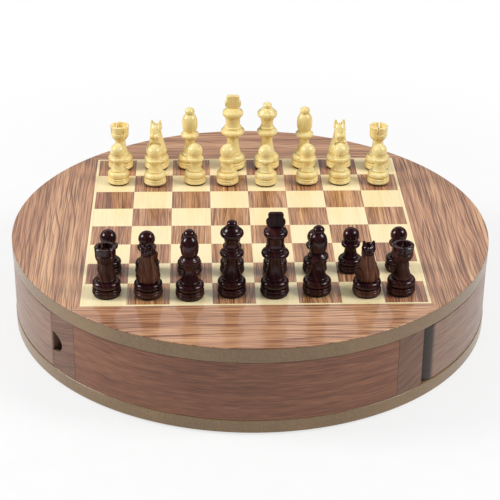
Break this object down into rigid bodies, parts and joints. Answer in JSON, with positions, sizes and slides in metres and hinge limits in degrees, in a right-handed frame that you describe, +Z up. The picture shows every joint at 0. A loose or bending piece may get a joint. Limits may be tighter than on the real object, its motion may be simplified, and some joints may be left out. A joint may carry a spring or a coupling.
{
  "type": "chess box with drawers",
  "caption": "Round wooden chess box: veneered board on a drum-shaped case with two drawers that swing out on pins, and a set of turned men standing on the board.",
  "frame": {"origin": "middle of the base, in the plane of the felt pads' undersides", "axes": "+Z up through the board, +X along the near edge of the board to the right, +Y away from the dark men's player"},
  "size_m": [0.3, 0.3, 0.1098],
  "materials": {
    "panel_edge": "stained fibreboard edge, satin",
    "pad_felt": "pressed felt",
    "light_veneer": "pale veneer, satin lacquer",
    "dark_veneer": "striped walnut veneer, satin lacquer",
    "surround_veneer": "walnut veneer with dark pores, satin lacquer",
    "wall_wood": "reddish brown veneer, satin",
    "pillar_wood": "greyish brown wood, satin",
    "drawer_wood": "brown veneer, satin",
    "tray_ply": "birch plywood, matt",
    "drawer_felt": "green felt",
    "pin_steel": "ground steel",
    "washer_fibre": "pressed fibre",
    "dark_man_wood": "dark stained, glossy lacquer",
    "light_man_wood": "boxwood, satin lacquer"
  },
  "bodies": {
    "case": {"top_panel": "panel_edge", "bottom_panel": "panel_edge", "base_pads": "pad_felt", "light_squares": "light_veneer", "dark_squares": "dark_veneer", "board_stringing": "light_veneer", "board_surround": "surround_veneer", "front_wall": "wall_wood", "back_wall": "wall_wood", "centre_partition": "tray_ply", "notch_pillar_front": "pillar_wood", "notch_pillar_back": "pillar_wood", "pivot_pillar_front": "pillar_wood", "pivot_pillar_back": "pillar_wood", "drawer_pins": "pin_steel", "drawer_washers": "washer_fibre"},
    "right_drawer": {"right_drawer_front": "drawer_wood", "right_drawer_inner_wall": "tray_ply", "right_drawer_pivot_wall": "tray_ply", "right_drawer_end_wall": "tray_ply", "right_drawer_floor": "tray_ply", "right_drawer_lining": "drawer_felt"},
    "left_drawer": {"left_drawer_front": "drawer_wood", "left_drawer_inner_wall": "tray_ply", "left_drawer_pivot_wall": "tray_ply", "left_drawer_end_wall": "tray_ply", "left_drawer_floor": "tray_ply", "left_drawer_lining": "drawer_felt"},
    "dark_rook_a": {"dark_rook_a": "dark_man_wood"},
    "dark_knight_b": {"dark_knight_b": "dark_man_wood"},
    "dark_bishop_c": {"dark_bishop_c": "dark_man_wood"},
    "dark_queen_d": {"dark_queen_d": "dark_man_wood"},
    "dark_king_e": {"dark_king_e": "dark_man_wood"},
    "dark_bishop_f": {"dark_bishop_f": "dark_man_wood"},
    "dark_knight_g": {"dark_knight_g": "dark_man_wood"},
    "dark_rook_h": {"dark_rook_h": "dark_man_wood"},
    "dark_pawn_a": {"dark_pawn_a": "dark_man_wood"},
    "dark_pawn_b": {"dark_pawn_b": "dark_man_wood"},
    "dark_pawn_c": {"dark_pawn_c": "dark_man_wood"},
    "dark_pawn_d": {"dark_pawn_d": "dark_man_wood"},
    "dark_pawn_e": {"dark_pawn_e": "dark_man_wood"},
    "dark_pawn_f": {"dark_pawn_f": "dark_man_wood"},
    "dark_pawn_g": {"dark_pawn_g": "dark_man_wood"},
    "dark_pawn_h": {"dark_pawn_h": "dark_man_wood"},
    "light_pawn_a": {"light_pawn_a": "light_man_wood"},
    "light_pawn_b": {"light_pawn_b": "light_man_wood"},
    "light_pawn_c": {"light_pawn_c": "light_man_wood"},
    "light_pawn_d": {"light_pawn_d": "light_man_wood"},
    "light_pawn_e": {"light_pawn_e": "light_man_wood"},
    "light_pawn_f": {"light_pawn_f": "light_man_wood"},
    "light_pawn_g": {"light_pawn_g": "light_man_wood"},
    "light_pawn_h": {"light_pawn_h": "light_man_wood"},
    "light_rook_a": {"light_rook_a": "light_man_wood"},
    "light_knight_b": {"light_knight_b": "light_man_wood"},
    "light_bishop_c": {"light_bishop_c": "light_man_wood"},
    "light_king_d": {"light_king_d": "light_man_wood"},
    "light_queen_e": {"light_queen_e": "light_man_wood"},
    "light_bishop_f": {"light_bishop_f": "light_man_wood"},
    "light_knight_g": {"light_knight_g": "light_man_wood"},
    "light_rook_h": {"light_rook_h": "light_man_wood"}
  },
  "joints": [
    {"name": "drawer_left_swing", "type": "hinge", "parent": "case", "child": "left_drawer", "pos_m": [-0.09773, 0.10233, 0.0286], "axis": [0, 0, -1], "range_deg": [0, 88]},
    {"name": "drawer_right_swing", "type": "hinge", "parent": "case", "child": "right_drawer", "pos_m": [0.09773, -0.10233, 0.0286], "axis": [0, 0, -1], "range_deg": [0, 88]},
    {"name": "lift_dark_rook_a", "type": "slide", "parent": "case", "child": "dark_rook_a", "axis": [0, 0, 1], "range_m": [0, 0.06]},
    {"name": "lift_dark_knight_b", "type": "slide", "parent": "case", "child": "dark_knight_b", "axis": [0, 0, 1], "range_m": [0, 0.06]},
    {"name": "lift_dark_bishop_c", "type": "slide", "parent": "case", "child": "dark_bishop_c", "axis": [0, 0, 1], "range_m": [0, 0.06]},
    {"name": "lift_dark_queen_d", "type": "slide", "parent": "case", "child": "dark_queen_d", "axis": [0, 0, 1], "range_m": [0, 0.06]},
    {"name": "lift_dark_king_e", "type": "slide", "parent": "case", "child": "dark_king_e", "axis": [0, 0, 1], "range_m": [0, 0.06]},
    {"name": "lift_dark_bishop_f", "type": "slide", "parent": "case", "child": "dark_bishop_f", "axis": [0, 0, 1], "range_m": [0, 0.06]},
    {"name": "lift_dark_knight_g", "type": "slide", "parent": "case", "child": "dark_knight_g", "axis": [0, 0, 1], "range_m": [0, 0.06]},
    {"name": "lift_dark_rook_h", "type": "slide", "parent": "case", "child": "dark_rook_h", "axis": [0, 0, 1], "range_m": [0, 0.06]},
    {"name": "lift_dark_pawn_a", "type": "slide", "parent": "case", "child": "dark_pawn_a", "axis": [0, 0, 1], "range_m": [0, 0.06]},
    {"name": "lift_dark_pawn_b", "type": "slide", "parent": "case", "child": "dark_pawn_b", "axis": [0, 0, 1], "range_m": [0, 0.06]},
    {"name": "lift_dark_pawn_c", "type": "slide", "parent": "case", "child": "dark_pawn_c", "axis": [0, 0, 1], "range_m": [0, 0.06]},
    {"name": "lift_dark_pawn_d", "type": "slide", "parent": "case", "child": "dark_pawn_d", "axis": [0, 0, 1], "range_m": [0, 0.06]},
    {"name": "lift_dark_pawn_e", "type": "slide", "parent": "case", "child": "dark_pawn_e", "axis": [0, 0, 1], "range_m": [0, 0.06]},
    {"name": "lift_dark_pawn_f", "type": "slide", "parent": "case", "child": "dark_pawn_f", "axis": [0, 0, 1], "range_m": [0, 0.06]},
    {"name": "lift_dark_pawn_g", "type": "slide", "parent": "case", "child": "dark_pawn_g", "axis": [0, 0, 1], "range_m": [0, 0.06]},
    {"name": "lift_dark_pawn_h", "type": "slide", "parent": "case", "child": "dark_pawn_h", "axis": [0, 0, 1], "range_m": [0, 0.06]},
    {"name": "lift_light_pawn_a", "type": "slide", "parent": "case", "child": "light_pawn_a", "axis": [0, 0, 1], "range_m": [0, 0.06]},
    {"name": "lift_light_pawn_b", "type": "slide", "parent": "case", "child": "light_pawn_b", "axis": [0, 0, 1], "range_m": [0, 0.06]},
    {"name": "lift_light_pawn_c", "type": "slide", "parent": "case", "child": "light_pawn_c", "axis": [0, 0, 1], "range_m": [0, 0.06]},
    {"name": "lift_light_pawn_d", "type": "slide", "parent": "case", "child": "light_pawn_d", "axis": [0, 0, 1], "range_m": [0, 0.06]},
    {"name": "lift_light_pawn_e", "type": "slide", "parent": "case", "child": "light_pawn_e", "axis": [0, 0, 1], "range_m": [0, 0.06]},
    {"name": "lift_light_pawn_f", "type": "slide", "parent": "case", "child": "light_pawn_f", "axis": [0, 0, 1], "range_m": [0, 0.06]},
    {"name": "lift_light_pawn_g", "type": "slide", "parent": "case", "child": "light_pawn_g", "axis": [0, 0, 1], "range_m": [0, 0.06]},
    {"name": "lift_light_pawn_h", "type": "slide", "parent": "case", "child": "light_pawn_h", "axis": [0, 0, 1], "range_m": [0, 0.06]},
    {"name": "lift_light_rook_a", "type": "slide", "parent": "case", "child": "light_rook_a", "axis": [0, 0, 1], "range_m": [0, 0.06]},
    {"name": "lift_light_knight_b", "type": "slide", "parent": "case", "child": "light_knight_b", "axis": [0, 0, 1], "range_m": [0, 0.06]},
    {"name": "lift_light_bishop_c", "type": "slide", "parent": "case", "child": "light_bishop_c", "axis": [0, 0, 1], "range_m": [0, 0.06]},
    {"name": "lift_light_king_d", "type": "slide", "parent": "case", "child": "light_king_d", "axis": [0, 0, 1], "range_m": [0, 0.06]},
    {"name": "lift_light_queen_e", "type": "slide", "parent": "case", "child": "light_queen_e", "axis": [0, 0, 1], "range_m": [0, 0.06]},
    {"name": "lift_light_bishop_f", "type": "slide", "parent": "case", "child": "light_bishop_f", "axis": [0, 0, 1], "range_m": [0, 0.06]},
    {"name": "lift_light_knight_g", "type": "slide", "parent": "case", "child": "light_knight_g", "axis": [0, 0, 1], "range_m": [0, 0.06]},
    {"name": "lift_light_rook_h", "type": "slide", "parent": "case", "child": "light_rook_h", "axis": [0, 0, 1], "range_m": [0, 0.06]}
  ]
}
